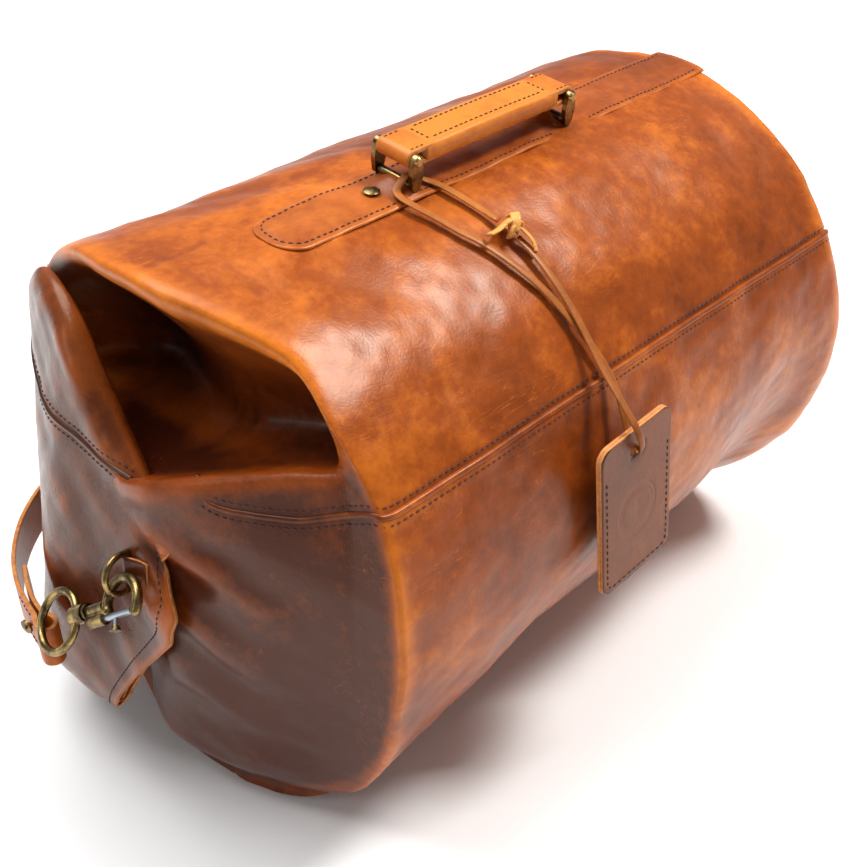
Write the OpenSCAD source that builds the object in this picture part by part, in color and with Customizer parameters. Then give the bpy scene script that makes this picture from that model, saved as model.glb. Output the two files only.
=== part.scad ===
// Leather cylinder duffel bag lying on its side, handle up, mouth end folded over and clipped.
// +X points to the round base, -X to the mouth, -Y to the side the tag hangs on, +Z is up.
// The origin is on the bag's underside, below the middle of its body.

/* [Bag body] */
// Radius of the leather cylinder
bag_r = 152; // [140:1:160]
// Length from the middle of the body to the base rim
base_x = 196; // [180:1:220]
// Height of the cylinder's axis above the surface the bag rests on
axis_h = 150; // [146:1:151]
// Thickness of the body leather
leather_t = 2.4; // [1.8:0.1:3]
// Angle of each lengthwise seam from the top
seam_angle = 60; // [54:1:64]

/* [Handle] */
// Distance from the middle of the handle to each bracket
bracket_x = 60; // [55:1:70]
// Height of the handle pins above the bracket pivots
link_h = 13.7; // [12:0.1:16]
// Width of the handle grip
grip_w = 24; // [22:1:28]
// Thickness of the handle grip
grip_t = 11; // [9:0.5:12]
// Angle by which the handle strip sits off the top of the bag
strip_tilt = 6; // [0:1:8]
// Width of the handle strip
strip_w = 36; // [30:1:40]

/* [Closure] */
// Width of the closing strap
strap_w = 26; // [22:1:30]
// Diameter of the snap hook's bar
hook_bar = 5.2; // [4.5:0.1:6]
// Diameter of the ring the hook clips to
ring_bar = 3.2; // [2.6:0.1:3.6]

/* [Tag] */
// Width of the luggage tag
tag_w = 58; // [50:1:65]
// Height of the luggage tag
tag_h = 92; // [80:1:105]
// Thickness of each of the tag's two leather layers
tag_layer = 2.1; // [1.6:0.1:2.4]
// Width of the flat leather lace
lace_w = 5; // [4:0.5:6]

/* [Hidden] */
gap = 0.3;            // clearance between leather layers that only touch
pin_r = 2;            // handle pin
bar_r = 2.3;          // bracket's lower bar
$fn = 48;

// The mouth edge of the body: angle from the top towards -Y, and how far along X the leather ends there
mouth_edge = [[-70, -184], [-45, -195], [-28, -205], [-10, -212], [6, -213], [16, -205], [27, -195],
              [36, -188], [45, -190], [60, -190], [80, -197], [100, -200], [125, -196], [145, -194],
              [165, -215], [180, -219], [195, -216], [215, -202], [240, -188], [290, -184],
              [315, -195]];
// The collapsed mouth tube: top crease, bottom crease and half thickness of each section, body to hem
sleeve_top = [[-193, 120, 240], [-199, 96, 263], [-209, 50, 256], [-216, 12, 215], [-226, -28, 180]];
sleeve_low = [[-198, 120, 58], [-229, 104, 40], [-243, 82, 36], [-244, 54, 36], [-243, 25, 38]];
sleeve_half = [5, 7, 10, 10, 8];
sleeve_out = [[-0.55, 0.83, 0], [-0.85, 0.52, 0], [-0.98, 0.2, 0], [-1, 0.05, 0], [-1, 0, 0]];
// The closing strap's path in plan, from where it is sewn to the far side round to the swivel eye
strap_path = [[-96, 154.4], [-130, 155.5], [-165, 155], [-198, 146], [-226, 127], [-246, 104],
              [-258, 82], [-264, 62], [-267, 48]];
strap_z = 94;
// Snap hook: where its swivel barrel is and how it is turned
hook_at = [-260, 10, 129];
hook_turn = [-46.5, -34.6, -69.8];
bolt_z = -6;          // the bolt's line below the hook's own axis
claw_x = 33;          // centre of the hook's claw along its axis
claw_z = -0.5;
claw_r = 12;          // radius of the claw's centre line
claw_tip = -30;       // angle at which the claw's nose ends
// Ring: the middle of its bar, and how it is turned
ring_at = [-238.6, -5.8, 153.8];
ring_turn = [8.4, -13.8, -171.5];
ring_r = 10;          // radius of the ring's centre line
ring_leg = 5.5;       // straight part between the bar and the bow
// Tag: centre and lean, and the lace's slot
tag_at = [-37, -161, 165];
tag_turn = [-4, -3, 0];
slot_drop = 8.4;      // from the tag's top edge to the slot
slot_w = 12;
slot_h = 6.4;
// The lace: up from the knot, round the left bracket's near foot, down behind the tag's top edge,
// through the slot and back up to the knot
lace_route = [[-38, -66, 290.6], [-41, -56, 294.8], [-44, -44, 299.2], [-46, -34, 302],
              [-50, -27, 304.2], [-55, -24.6, 307], [-60, -24.4, 309.2], [-65, -24.6, 307.4],
              [-69.5, -26, 304.8], [-71.5, -31, 303], [-70, -40, 300.4], [-67, -50, 297.2],
              [-62.5, -62, 292.2], [-57, -72, 287.4], [-51, -85, 279.6], [-45, -99, 269.2],
              [-40, -112, 256.8], [-35.5, -124, 243.6], [-33, -132.5, 233], [-32.5, -138.5, 225],
              [-33, -143.5, 217], [-34, -147.6, 210], [-35, -150.4, 204.6], [-36, -153.4, 200.8],
              [-37.5, -156.6, 199.4], [-39, -160.4, 199.4], [-40.5, -163.6, 200.6], [-42, -165.2, 204],
              [-43.5, -164.6, 209.6], [-44, -161, 215.6], [-43.5, -154.4, 222], [-42, -146, 228.6],
              [-40, -136, 236.4], [-38, -125.6, 246], [-36.5, -114, 257.4], [-36, -101, 269],
              [-36, -88, 278.6], [-37, -77, 285]];

function bump(v, c, w) = exp(-pow((v - c) / w, 2));
function unit(v) = v / norm(v);
function mix(a, b, t) = a + (b - a) * t;
function ramp(v, a, b) = let (t = min(1, max(0, (v - a) / (b - a)))) t * t * (3 - 2 * t);

// Smooth curve through a list of points, n steps to a span
function knot_point(a, b, c, d, t) =
    0.5 * ((2 * b) + (c - a) * t + (2 * a - 5 * b + 4 * c - d) * t * t
    + (3 * b - a - 3 * c + d) * t * t * t);
function smooth_path(p, n) = concat(
    [for (i = [0 : len(p) - 2], j = [0 : n - 1])
        knot_point(p[max(i - 1, 0)], p[i], p[i + 1], p[min(i + 2, len(p) - 1)], j / n)],
    [p[len(p) - 1]]);

// Radius of the body at an angle from the top and a place along X: it bulges low down by the mouth,
// is flattened low down along the tag side, most of all by the base, and is lifted at the far top corner
// where the tube is folded
function side_r(th, x) =
    bag_r + 12 * bump(th, 148, 20) * bump(x, -205, 30)
    - 8 * bump(th, 126, 30) * ramp(x, -170, -40) * (1 - ramp(x, 150, 186))
    - 9 * bump(th, 112, 26) * bump(x, 132, 42)
    + 5 * bump(th, -44, 22) * bump(x, -198, 45) + 5 * bump(th, 316, 22) * bump(x, -198, 45);
function rim_drop(x) = 6 * pow(max(0, (x - base_x + 12) / 12), 2.5);
function side_point(th, x, inset) =
    let (r = side_r(th, x) - rim_drop(x) - inset)
    [x, -r * sin(th), max(inset, axis_h + r * cos(th))];
function mouth_x(th) = lookup(th, mouth_edge);

// A closed sheet between an outer and an inner grid of points
function grid_faces(n, m, k, flip) = [for (i = [0 : n - 2], j = [0 : m - 2])
    let (a = k + i * m + j, b = a + 1, c = a + m, d = c + 1)
    each (flip ? [[a, b, d], [a, d, c]] : [[a, d, b], [a, c, d]])];
function edge_faces(a, b, k) = [for (i = [0 : len(a) - 2])
    each [[a[i], a[i + 1], b[i + 1]], [a[i], b[i + 1], b[i]]]];
module sheet(outer, inner) {
    n = len(outer);
    m = len(outer[0]);
    k = n * m;
    rim = concat([for (j = [0 : m - 1]) j], [for (i = [1 : n - 1]) i * m + m - 1],
        [for (j = [m - 2 : -1 : 0]) (n - 1) * m + j], [for (i = [n - 2 : -1 : 0]) i * m]);
    back = [for (v = rim) v + k];
    polyhedron(
        points = concat([for (row = outer) each row], [for (row = inner) each row]),
        faces = concat(grid_faces(n, m, 0, false), grid_faces(n, m, k, true), edge_faces(rim, back, k)),
        convexity = 10);
}

// Part of the body's side between two angles, raised off the leather. Without x_from it starts at the mouth
side_rows = 16;
function side_grid(th0, th1, steps, x_from, x_to, lift) =
    [for (i = [0 : side_rows]) [for (j = [0 : steps])
        let (th = mix(th0, th1, j / steps), start = is_undef(x_from) ? mouth_x(th) : x_from)
        side_point(th, mix(start, x_to, i / side_rows), -lift)]];
module side_sheet(th0, th1, steps, x_from, x_to, lift, t) {
    sheet(side_grid(th0, th1, steps, x_from, x_to, lift + t), side_grid(th0, th1, steps, x_from, x_to, lift));
}

panel_gap = 0.2;             // half the slit between the two panels, in degrees
module upper_panel() {
    edge = seam_angle - panel_gap;
    color("#9a4a1e") side_sheet(-edge, edge, 30, undef, base_x, -leather_t, leather_t);
}

module lower_panel() {
    edge = seam_angle + panel_gap;
    color("#84401c") side_sheet(edge, 360 - edge, 72, undef, base_x, -leather_t, leather_t);
}

// The end of the bag: a patch inside the mouth edge, bulged low down and tucked in below its top edge.
// It runs from the top edge at v = 0 to the underside at v = 1, and across at u = 0 to 1
function ring_point(th, inset) = side_point(th, mouth_x(th) + 3, inset);
function patch_point(u, v, d) =
    let (top = ring_point(45 - 90 * u, d), low = ring_point(150 + 60 * u, d),
         near = ring_point(45 + 105 * v, d), far = ring_point(315 - 105 * v, d),
         c00 = ring_point(45, d), c10 = ring_point(315, d),
         c01 = ring_point(150, d), c11 = ring_point(210, d))
    (1 - v) * top + v * low + (1 - u) * near + u * far
    - (1 - u) * (1 - v) * c00 - u * (1 - v) * c10 - (1 - u) * v * c01 - u * v * c11;
tuck_deep = 0.2;             // v where the hollow under the top edge is deepest
fold_v = 0.34;               // v of the lip below it, where the two end pieces meet
tuck_in = 62;
tuck_down = 16;
bulge_out = 12;
far_pull = 50;               // how far the far side is drawn in behind the mouth tube
function across(u) = max(0, sin(180 * u));
function tuck(u, v) = pow(across(u), 0.6)
    * (v < tuck_deep ? sin(90 * v / tuck_deep)
       : v < fold_v ? cos(90 * (v - tuck_deep) / (fold_v - tuck_deep)) : 0);
function end_push(u, v) =
    tuck_in * tuck(u, v) - bulge_out * pow(across(u), 0.8) * bump(v, 0.55, 0.3) * bump(u, 0.36, 0.3)
    + far_pull * across(u) * sin(180 * v) * bump(u, 0.86, 0.2);
function end_point(u, v, back) =
    patch_point(u, v, leather_t + 3 * gap) + [end_push(u, v) + back, 0, -tuck_down * tuck(u, v)];
module end_sheet(v_from, v_to, rows) {
    cols = 20;
    end_grid = function (back) [for (j = [cols : -1 : 0]) [for (i = [0 : rows])
        end_point(j / cols, mix(v_from, v_to, i / rows), back)]];
    sheet(end_grid(0), end_grid(leather_t));
}
module fold_panel() { color("#7a3a1a") end_sheet(0, fold_v, 12); }
module end_panel() { color("#6d3418") end_sheet(fold_v, 1, 22); }

// The mouth tube, squashed flat: sections are flattened ovals between two creases
function sleeve_section(s, grow) =
    let (i = min(floor(s), 3), t = s - i,
         a = knot_at(sleeve_top, i, t), b = knot_at(sleeve_low, i, t),
         o = unit(mix(sleeve_out[i], sleeve_out[i + 1], t)),
         h = mix(sleeve_half[i], sleeve_half[i + 1], t) + grow,
         mid = (a + b) / 2, arm = (a - b) / 2, reach = 1 + grow / norm(arm))
    [for (k = [0 : 35]) let (q = k * 10)
        mid + arm * reach * cos(q) + o * h * sign(sin(q)) * pow(abs(sin(q)), 0.7)];
function knot_at(p, i, t) = knot_point(p[max(i - 1, 0)], p[i], p[i + 1], p[min(i + 2, len(p) - 1)], t);
module tube(sections_out, sections_in) {
    n = len(sections_out);
    m = len(sections_out[0]);
    k = n * m;
    side = function (base, flip) [for (i = [0 : n - 2], j = [0 : m - 1])
        let (a = base + i * m + j, b = base + i * m + (j + 1) % m, c = a + m, d = b + m)
        each (flip ? [[a, b, d], [a, d, c]] : [[a, d, b], [a, c, d]])];
    cap = function (i, flip) [for (j = [0 : m - 1])
        let (a = i * m + j, b = i * m + (j + 1) % m)
        each (flip ? [[a, b, b + k], [a, b + k, a + k]] : [[a, b + k, b], [a, a + k, b + k]])];
    polyhedron(
        points = concat([for (r = sections_out) each r], [for (r = sections_in) each r]),
        faces = concat(side(0, false), side(k, true), cap(0, true), cap(n - 1, false)),
        convexity = 10);
}
module mouth_sleeve() {
    color("#7c3b1a") tube([for (i = [0 : 16]) sleeve_section(i / 4, 0)],
        [for (i = [0 : 16]) sleeve_section(i / 4, -leather_t)]);
}

// A second layer of leather sewn inside the hem
module mouth_binding() {
    color("#c8742f") tube([for (i = [0 : 3]) sleeve_section(3.6 + i * 0.13, -leather_t - gap)],
        [for (i = [0 : 3]) sleeve_section(3.6 + i * 0.13, -leather_t - gap - 1.4)]);
}

base_r = bag_r - 10;         // the base sits inside the turned-in rim
module base_panel() {
    color("#84401c") translate([base_x - 4, 0, axis_h]) rotate([0, 90, 0])
        cylinder(r = base_r, h = leather_t, $fn = 96);
}

module base_board() {
    color("#5a4634") translate([base_x - 8, 0, axis_h]) rotate([0, 90, 0])
        cylinder(r = base_r - 1, h = 3, $fn = 96);
}

module near_seam_ridge() {
    color("#a85624") side_sheet(seam_angle + 0.1, seam_angle + 1.4, 2, -188, base_x - 5, gap, 1.4);
}

module far_seam_ridge() {
    color("#a85624") side_sheet(-seam_angle - 1.4, -seam_angle - 0.1, 2, -176, base_x - 5, gap, 1.4);
}

// Everything about the handle is drawn on the bag's axis, turned to where the strip runs
module on_strip() {
    translate([0, 0, axis_h]) rotate([strip_tilt, 0, 0]) children();
}
strip_n = bag_r + 0.15;      // underside of the strip
bar_n = bag_r + 4.8;         // bracket pivots
pin_n = bar_n + link_h;      // handle pins
plate_e = 11.6;              // inner face of each bracket plate
plate_t = 2.8;

strip_end = -146;            // the strip's rounded left end
strip_round = 15;
function strip_half(x) = strip_w / 2 - strip_round
    + sqrt(max(0.2, strip_round * strip_round - pow(max(0, strip_round - x + strip_end), 2)));
module strip_sheet(lift, t) {
    outer = [for (x = strip_x) [for (j = [8 : -1 : -8]) strip_point(x, strip_half(x) * j / 8, lift + t)]];
    inner = [for (x = strip_x) [for (j = [8 : -1 : -8]) strip_point(x, strip_half(x) * j / 8, lift)]];
    sheet(outer, inner);
}
strip_x = concat([-146, -144, -141, -137, -131, -120, -105, -90], [for (x = [-82 : 4 : -38]) x], [-10, 20],
    [for (x = [38 : 4 : 82]) x], [100, 130, 160, 188]);
// The strip runs over each bracket's lower bar in a low tunnel
function tunnel(x, e) = 5.2 * (bump(x, -bracket_x, 7.5) + bump(x, bracket_x, 7.5)) * bump(e, 0, 9.5);
function strip_point(x, e, n) = let (r = bag_r + n + tunnel(x, e), th = e / bag_r * 180 / PI)
    [x, r * sin(th), r * cos(th)];
module handle_strip() {
    color("#8f4722") on_strip() difference() {
        strip_sheet(0.15, 2.2);
        for (x = [-bracket_x, bracket_x])
            translate([x, 0, bar_n]) rotate([90, 0, 0]) cylinder(r = bar_r + 0.25, h = 26, center = true);
        for (x = [-bracket_x, bracket_x], s = [-1, 1])
            translate([x, s * (plate_e + plate_t / 2), bar_n]) cube([12, plate_t + 1, 12], center = true);
    }
}

module inner_reinforcement() {
    color("#6b3a20") translate([0, 0, axis_h]) rotate([strip_tilt, 0, 0]) intersection() {
        rotate([0, 90, 0]) difference() {
            cylinder(r = bag_r - leather_t - gap, h = 180, center = true, $fn = 96);
            cylinder(r = bag_r - leather_t - gap - 2, h = 181, center = true, $fn = 96);
        }
        translate([-90, -20, 100]) cube([180, 40, 60]);
    }
}

rivet_x = -77;
module rivet() {
    color("#b08a4a") on_strip() translate([rivet_x, 0, 0]) {
        translate([0, 0, bag_r + 2.45]) rotate_extrude() intersection() {
            translate([0, -8.2]) circle(r = 9.6, $fn = 96);
            square([4.3, 3]);
        }
        translate([0, 0, bag_r - leather_t - 4]) cylinder(r = 1.4, h = leather_t + 6.6);
    }
}

module rivet_burr() {
    color("#b08a4a") on_strip() translate([rivet_x, 0, bag_r - leather_t - 3.6]) difference() {
        cylinder(r = 4, h = 0.9);
        translate([0, 0, -1]) cylinder(r = 1.42, h = 3);
    }
}

// Bracket: a bar that runs under the strip and two blade-like side plates
module plate_outline() {
    hull() {
        circle(r = 2.9, $fn = 32);
        translate([0, link_h / 2]) circle(r = 4.1, $fn = 32);
        translate([0, link_h]) circle(r = 3.2, $fn = 32);
    }
}
module bracket() {
    rotate([90, 0, 0]) cylinder(r = bar_r, h = 2 * plate_e + 1, center = true);
    for (s = [-1, 1])
        translate([0, s * (plate_e + plate_t / 2) + plate_t / 2, 0]) rotate([90, 0, 0]) difference() {
            linear_extrude(plate_t) plate_outline();
            translate([0, link_h, -1]) cylinder(r = pin_r, h = plate_t + 2);
        }
}
module left_bracket() { color("#8a6a35") on_strip() translate([-bracket_x, 0, bar_n]) bracket(); }
module right_bracket() { color("#8a6a35") on_strip() translate([bracket_x, 0, bar_n]) bracket(); }

// Handle pin with a low round head on each side
module pin() {
    rotate([90, 0, 0]) {
        cylinder(r = pin_r, h = 2 * (plate_e + plate_t), center = true);
        for (s = [0, 1])
            mirror([0, 0, s]) translate([0, 0, plate_e + plate_t]) cylinder(r1 = 2.8, r2 = 2, h = 1);
    }
}
module left_pin() { color("#a5803f") on_strip() translate([-bracket_x, 0, pin_n]) pin(); }
module right_pin() { color("#a5803f") on_strip() translate([bracket_x, 0, pin_n]) pin(); }

grip_half = bracket_x - 9;     // half length of the full-width grip
module rounded_bar(len, w, t, r) {
    rotate([90, 0, 90]) linear_extrude(len, center = true)
        hull() for (a = [-1, 1], b = [-1, 1])
            translate([a * (w / 2 - r), b * (t / 2 - r)]) circle(r = r, $fn = 32);
}
module handle_core() {
    color("#caa36b") on_strip() translate([0, 0, pin_n])
        rounded_bar(2 * grip_half - 4, grip_w - 6, grip_t - 5, 2.4);
}
module handle_cover() {
    color("#b5642a") on_strip() translate([0, 0, pin_n]) difference() {
        rounded_bar(2 * grip_half, grip_w, grip_t, 4);
        rounded_bar(2 * grip_half - 3.6, grip_w - 5.4, grip_t - 4.4, 2.6);
    }
}
// Each end of the grip's leather turns round its pin
module end_wrap() {
    wrap_w = 2 * plate_e - 1;
    wrap_r = pin_r + 2.7;
    difference() {
        union() {
            rotate([90, 0, 0]) cylinder(r = wrap_r, h = wrap_w, center = true);
            translate([0, -wrap_w / 2, -wrap_r]) cube([bracket_x - grip_half - gap, wrap_w, 2 * wrap_r]);
        }
        rotate([90, 0, 0]) cylinder(r = pin_r + 0.06, h = wrap_w + 2, center = true);
    }
}
module left_end_wrap() { color("#c4702e") on_strip() translate([-bracket_x, 0, pin_n]) end_wrap(); }
module right_end_wrap() {
    color("#c4702e") on_strip() translate([bracket_x, 0, pin_n]) mirror([1, 0, 0]) end_wrap();
}

// Closing strap: a band along its plan path that ends in a loop round the swivel eye
function path_side(p, d) = [for (i = [0 : len(p) - 1])
    let (t = unit(p[min(i + 1, len(p) - 1)] - p[max(i - 1, 0)])) p[i] + d * [t[1], -t[0]]];
module band(path, t) {
    back = path_side(path, -t / 2);
    polygon(concat(path_side(path, t / 2), [for (i = [len(path) - 1 : -1 : 0]) back[i]]));
}
strap_loop = [-265.2, 42.1];   // where the eye's bar runs through the strap's end, in plan
turned_path = [[-250.5, 84], [-257.5, 71], [-261.5, 58], [-263.2, 48]];   // strap end sewn back on itself
module closing_strap() {
    color("#a5531f") translate([0, 0, strap_z - strap_w / 2]) difference() {
        union() {
            linear_extrude(strap_w) band(smooth_path(strap_path, 4), 2.6);
            linear_extrude(strap_w) band(smooth_path(turned_path, 4), 2.4);
            translate(strap_loop) cylinder(r = 6, h = strap_w);
        }
        translate([0, 0, -1]) translate(strap_loop) cylinder(r = 3.5, h = strap_w + 2);
    }
}
module strap_stud() {
    color("#a5803f") translate([-267.1, 58.6, strap_z]) rotate([0, 90, 8]) {
        translate([0, 0, 0.4]) cylinder(r = 1.2, h = 7.6, center = true);
        translate([0, 0, -1.6]) cylinder(r = 4, h = 1.3, center = true);
    }
}

module on_hook() {
    translate(hook_at) rotate(hook_turn) children();
}
module arc_bar(r, bar, from, to) {
    rotate([90, 0, 0]) rotate([0, 0, from]) rotate_extrude(angle = to - from, $fn = 64)
        translate([r, 0]) circle(r = bar / 2, $fn = 24);
}
// Swivel eye: a round bow with a collar that the hook's shank turns in
eye_r = 15.6;
module swivel_eye() {
    color("#9a7838") on_hook() {
        difference() {
            union() {
                translate([-6, 0, 0]) rotate([0, 90, 0]) cylinder(r = 5, h = 10);
                translate([-eye_r - 4.2, 0, 0]) arc_bar(eye_r, 4.4, 14, 346);
            }
            translate([-3.6, 0, 0]) rotate([0, 90, 0]) cylinder(r = 2.42, h = 9);
        }
    }
}
module hook_body() {
    color("#9a7838") on_hook() difference() {
        union() {
            translate([-3.3, 0, 0]) rotate([0, 90, 0]) cylinder(r = 2.35, h = 10);
            translate([4.4, 0, 0]) rotate([0, 90, 0]) cylinder(r = 4.2, h = 2);
            translate([6, 0, 0]) rotate([0, 90, 0]) cylinder(r = 3, h = 13);
            translate([7, -2.2, bolt_z]) cube([12.6, 4.4, -bolt_z]);
            translate([7, 0, bolt_z]) rotate([0, 90, 0]) cylinder(r = 3.2, h = 12.6);
            translate([claw_x, 0, claw_z]) arc_bar(claw_r, hook_bar, claw_tip, 190);
            claw_end(190) sphere(r = 3);
            claw_end(claw_tip) sphere(r = hook_bar / 2);
        }
        translate([8, 0, bolt_z]) rotate([0, 90, 0]) cylinder(r = 1.8, h = 18);
    }
}
module claw_end(a) {
    translate([claw_x + claw_r * cos(a), 0, claw_z + claw_r * sin(a)]) children();
}
// Spring bolt that closes the claw, drawn back by the knob on its post
bolt_back = 16.6;
bolt_front = 40.6;
post_x = 28;
module gate_bolt() {
    color("#c0c0b8") on_hook() {
        translate([bolt_back, 0, bolt_z]) rotate([0, 90, 0]) cylinder(r = 1.7, h = bolt_front - bolt_back);
        translate([post_x, 0, bolt_z - 5]) cylinder(r = 1.1, h = 5);
    }
}
// Closing spring in the bore behind the bolt
spring_back = 8.4;
module bolt_spring() {
    turns = 5;
    steps = 10;
    travel = bolt_back - 0.5 - spring_back;
    color("#b8bcc0") on_hook() translate([spring_back, 0, bolt_z]) sweep(
        [for (i = [0 : turns * steps]) let (q = i * 360 / steps)
            [travel * i / (turns * steps), 1.2 * sin(q), 1.2 * cos(q)]], 0.5, 0.5, 6);
}
module thumb_knob() {
    color("#9a7838") on_hook() translate([post_x, 0, bolt_z - 5.1]) mirror([0, 0, 1])
        cylinder(r1 = 1.8, r2 = 3.2, h = 2.6);
}

// The ring is pulled outwards by the hook; its bar is held in the tab
module on_ring() {
    translate(ring_at) rotate(ring_turn) children();
}
module d_ring() {
    color("#9a7838") on_ring() {
        translate([ring_leg, 0, 0]) arc_bar(ring_r, ring_bar, -90, 90);
        for (s = [-1, 1]) {
            translate([0, 0, s * ring_r]) rotate([0, 90, 0]) cylinder(r = ring_bar / 2, h = ring_leg);
            translate([0, 0, s * ring_r]) sphere(r = ring_bar / 2, $fn = 24);
        }
        cylinder(r = ring_bar / 2, h = 2 * ring_r, center = true);
    }
}
// The tab is folded round the ring's bar and sewn to the sleeve beside the hem
tab_h = 16.2;
module ring_tab() {
    color("#5c2c14") difference() {
        union() {
            on_ring() cylinder(r = 2.7, h = tab_h, center = true);
            hull() {
                on_ring() translate([0.3, 0.8, 0]) cylinder(r = 1.6, h = tab_h, center = true);
                on_ring() translate([3, 12, 0]) cylinder(r = 1.5, h = tab_h, center = true);
            }
        }
        on_ring() cylinder(r = ring_bar / 2 + 0.15, h = tab_h + 2, center = true);
    }
}

// Luggage tag: two stitched layers with a slot near the top for the lace
module on_tag() {
    translate(tag_at) rotate(tag_turn) children();
}
module tag_layer_solid(y) {
    translate([0, y, 0]) rotate([90, 0, 0]) linear_extrude(tag_layer) difference() {
        offset(r = 7) square([tag_w - 14, tag_h - 14], center = true);
        translate([0, tag_h / 2 - slot_drop - slot_h / 2]) offset(r = 1.5)
            square([slot_w - 3, slot_h - 3], center = true);
    }
}
module tag_front() { color("#8d461f") on_tag() tag_layer_solid(-0.05); }
module tag_back() { color("#b5642a") on_tag() tag_layer_solid(tag_layer + 0.05); }

// Sweep a flat oval along a route
module sweep(route, w, t, sides) {
    n = len(route);
    tang = [for (i = [0 : n - 1]) unit(route[min(i + 1, n - 1)] - route[max(i - 1, 0)])];
    flat = [for (i = [0 : n - 1]) let (c = cross(tang[i], sweep_up(route[i], tang[i]))) unit(c)];
    points = [for (i = [0 : n - 1], k = [0 : sides - 1])
        let (q = k * 360 / sides, v = cross(flat[i], tang[i]))
        route[i] + flat[i] * w / 2 * cos(q) + v * t / 2 * sin(q)];
    polyhedron(points = points, faces = concat(
        [[for (k = [sides - 1 : -1 : 0]) k]], [[for (k = [0 : sides - 1]) (n - 1) * sides + k]],
        [for (i = [0 : n - 2], k = [0 : sides - 1]) let (a = i * sides + k, b = i * sides + (k + 1) % sides)
            each [[a, b + sides, a + sides], [a, b, b + sides]]]), convexity = 10);
}
// The lace's flat side faces away from the bag's axis
function sweep_up(p, t) = norm([p[1], p[2]]) < 30 ? [1, 0.1, 0.05] : [0, p[1], p[2] - axis_h];
module lace() {
    color("#7a3d14") sweep(smooth_path(lace_route, 2), lace_w, 1.6, 8);
}
module lace_knot() {
    color("#d08a3a") translate([-37.4, -73, 290]) rotate([27, 6, 8]) {
        rotate([90, 0, 0]) cylinder(r = 5, h = 9.5, center = true);
        translate([-11, 1, -0.6]) cube([15, lace_w, 1.6], center = true);
        translate([3, -10, -0.6]) cube([lace_w, 15, 1.6], center = true);
    }
}

upper_panel();
lower_panel();
fold_panel();
end_panel();
mouth_sleeve();
mouth_binding();
base_panel();
base_board();
near_seam_ridge();
far_seam_ridge();
handle_strip();
inner_reinforcement();
rivet();
rivet_burr();
left_bracket();
right_bracket();
left_pin();
right_pin();
handle_core();
handle_cover();
left_end_wrap();
right_end_wrap();
closing_strap();
strap_stud();
swivel_eye();
hook_body();
gate_bolt();
bolt_spring();
thumb_knob();
d_ring();
ring_tab();
tag_front();
tag_back();
lace();
lace_knot();
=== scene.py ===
import math

import bpy
import numpy as np
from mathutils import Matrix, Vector
from mathutils.bvhtree import BVHTree


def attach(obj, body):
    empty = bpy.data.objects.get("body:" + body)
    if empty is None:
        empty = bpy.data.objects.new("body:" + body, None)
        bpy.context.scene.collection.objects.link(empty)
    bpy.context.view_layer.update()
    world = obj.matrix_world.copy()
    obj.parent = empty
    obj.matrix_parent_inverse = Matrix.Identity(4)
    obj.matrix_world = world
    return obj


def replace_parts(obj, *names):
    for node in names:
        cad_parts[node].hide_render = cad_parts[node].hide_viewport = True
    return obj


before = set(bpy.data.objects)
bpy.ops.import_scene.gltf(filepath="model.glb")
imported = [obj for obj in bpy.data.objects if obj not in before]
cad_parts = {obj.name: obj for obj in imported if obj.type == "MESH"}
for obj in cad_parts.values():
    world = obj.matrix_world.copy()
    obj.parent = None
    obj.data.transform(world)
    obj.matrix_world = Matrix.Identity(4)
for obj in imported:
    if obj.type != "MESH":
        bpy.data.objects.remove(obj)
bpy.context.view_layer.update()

# -------------------------------------------- sizes, in millimetres
MM = 0.001
BAG_R = 152             # leather cylinder
AXIS_Z = 150            # its axis above the floor
BASE_X = 196            # rim of the base
LEATHER = 2.4
SEAM = 60               # seams, degrees from the top
SEAM_REACH = 4.2        # stitch rows each side of a seam
STRIP_TILT = math.radians(6)
STRIP_W = 35
STRIP_END = -146
STRIP_CORNER = 15
STITCH_MARGIN = 3.6
BRACKET_X = 60
PIN_N = BAG_R + 4.8 + 13.7
STRAP_Z = 94
STRAP_W = 26
STRAP_T = 2.5
TAG_AT = np.array([-37.0, -161.0, 165.0])
TAG_TURN = (-4, -3, 0)
TAG_W = 58
TAG_H = 92
RING_AT = np.array([-238.6, -5.8, 153.8])
RING_TURN = (8.4, -13.8, -171.5)
RNG = np.random.default_rng(7)


# -------------------------------------------- camera
CAMERA_AT = (-0.470, -0.429, 0.564)
LOOK_DOWN = 35.56       # degrees below level
HEADING = -46.65        # degrees about +Z
LENS = 51.9             # on a 36 mm wide sensor


def add_camera():
    cam = bpy.data.objects.new("camera", bpy.data.cameras.new("camera"))
    bpy.context.collection.objects.link(cam)
    cam.location = CAMERA_AT
    cam.rotation_euler = (math.radians(90 - LOOK_DOWN), 0, math.radians(HEADING))
    cam.data.sensor_width = 36
    cam.data.lens = LENS
    cam.data.clip_start = 0.01
    bpy.context.scene.camera = cam


add_camera()


# -------------------------------------------- small geometry helpers
def unit(v):
    return v / np.maximum(np.linalg.norm(v, axis=-1, keepdims=True), 1e-9)


def bump(v, centre, width):
    return np.exp(-((v - centre) / width) ** 2)


def smooth(v, a, b):
    t = np.clip((v - a) / (b - a), 0, 1)
    return t * t * (3 - 2 * t)


def turn(about, degrees):
    a = math.radians(degrees)
    c, s = math.cos(a), math.sin(a)
    i, j = [(1, 2), (2, 0), (0, 1)][about]
    m = np.eye(3)
    m[i, i], m[j, j], m[i, j], m[j, i] = c, c, -s, s
    return m


def turned(x, y, z):
    return turn(2, z) @ turn(1, y) @ turn(0, x)


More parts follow.
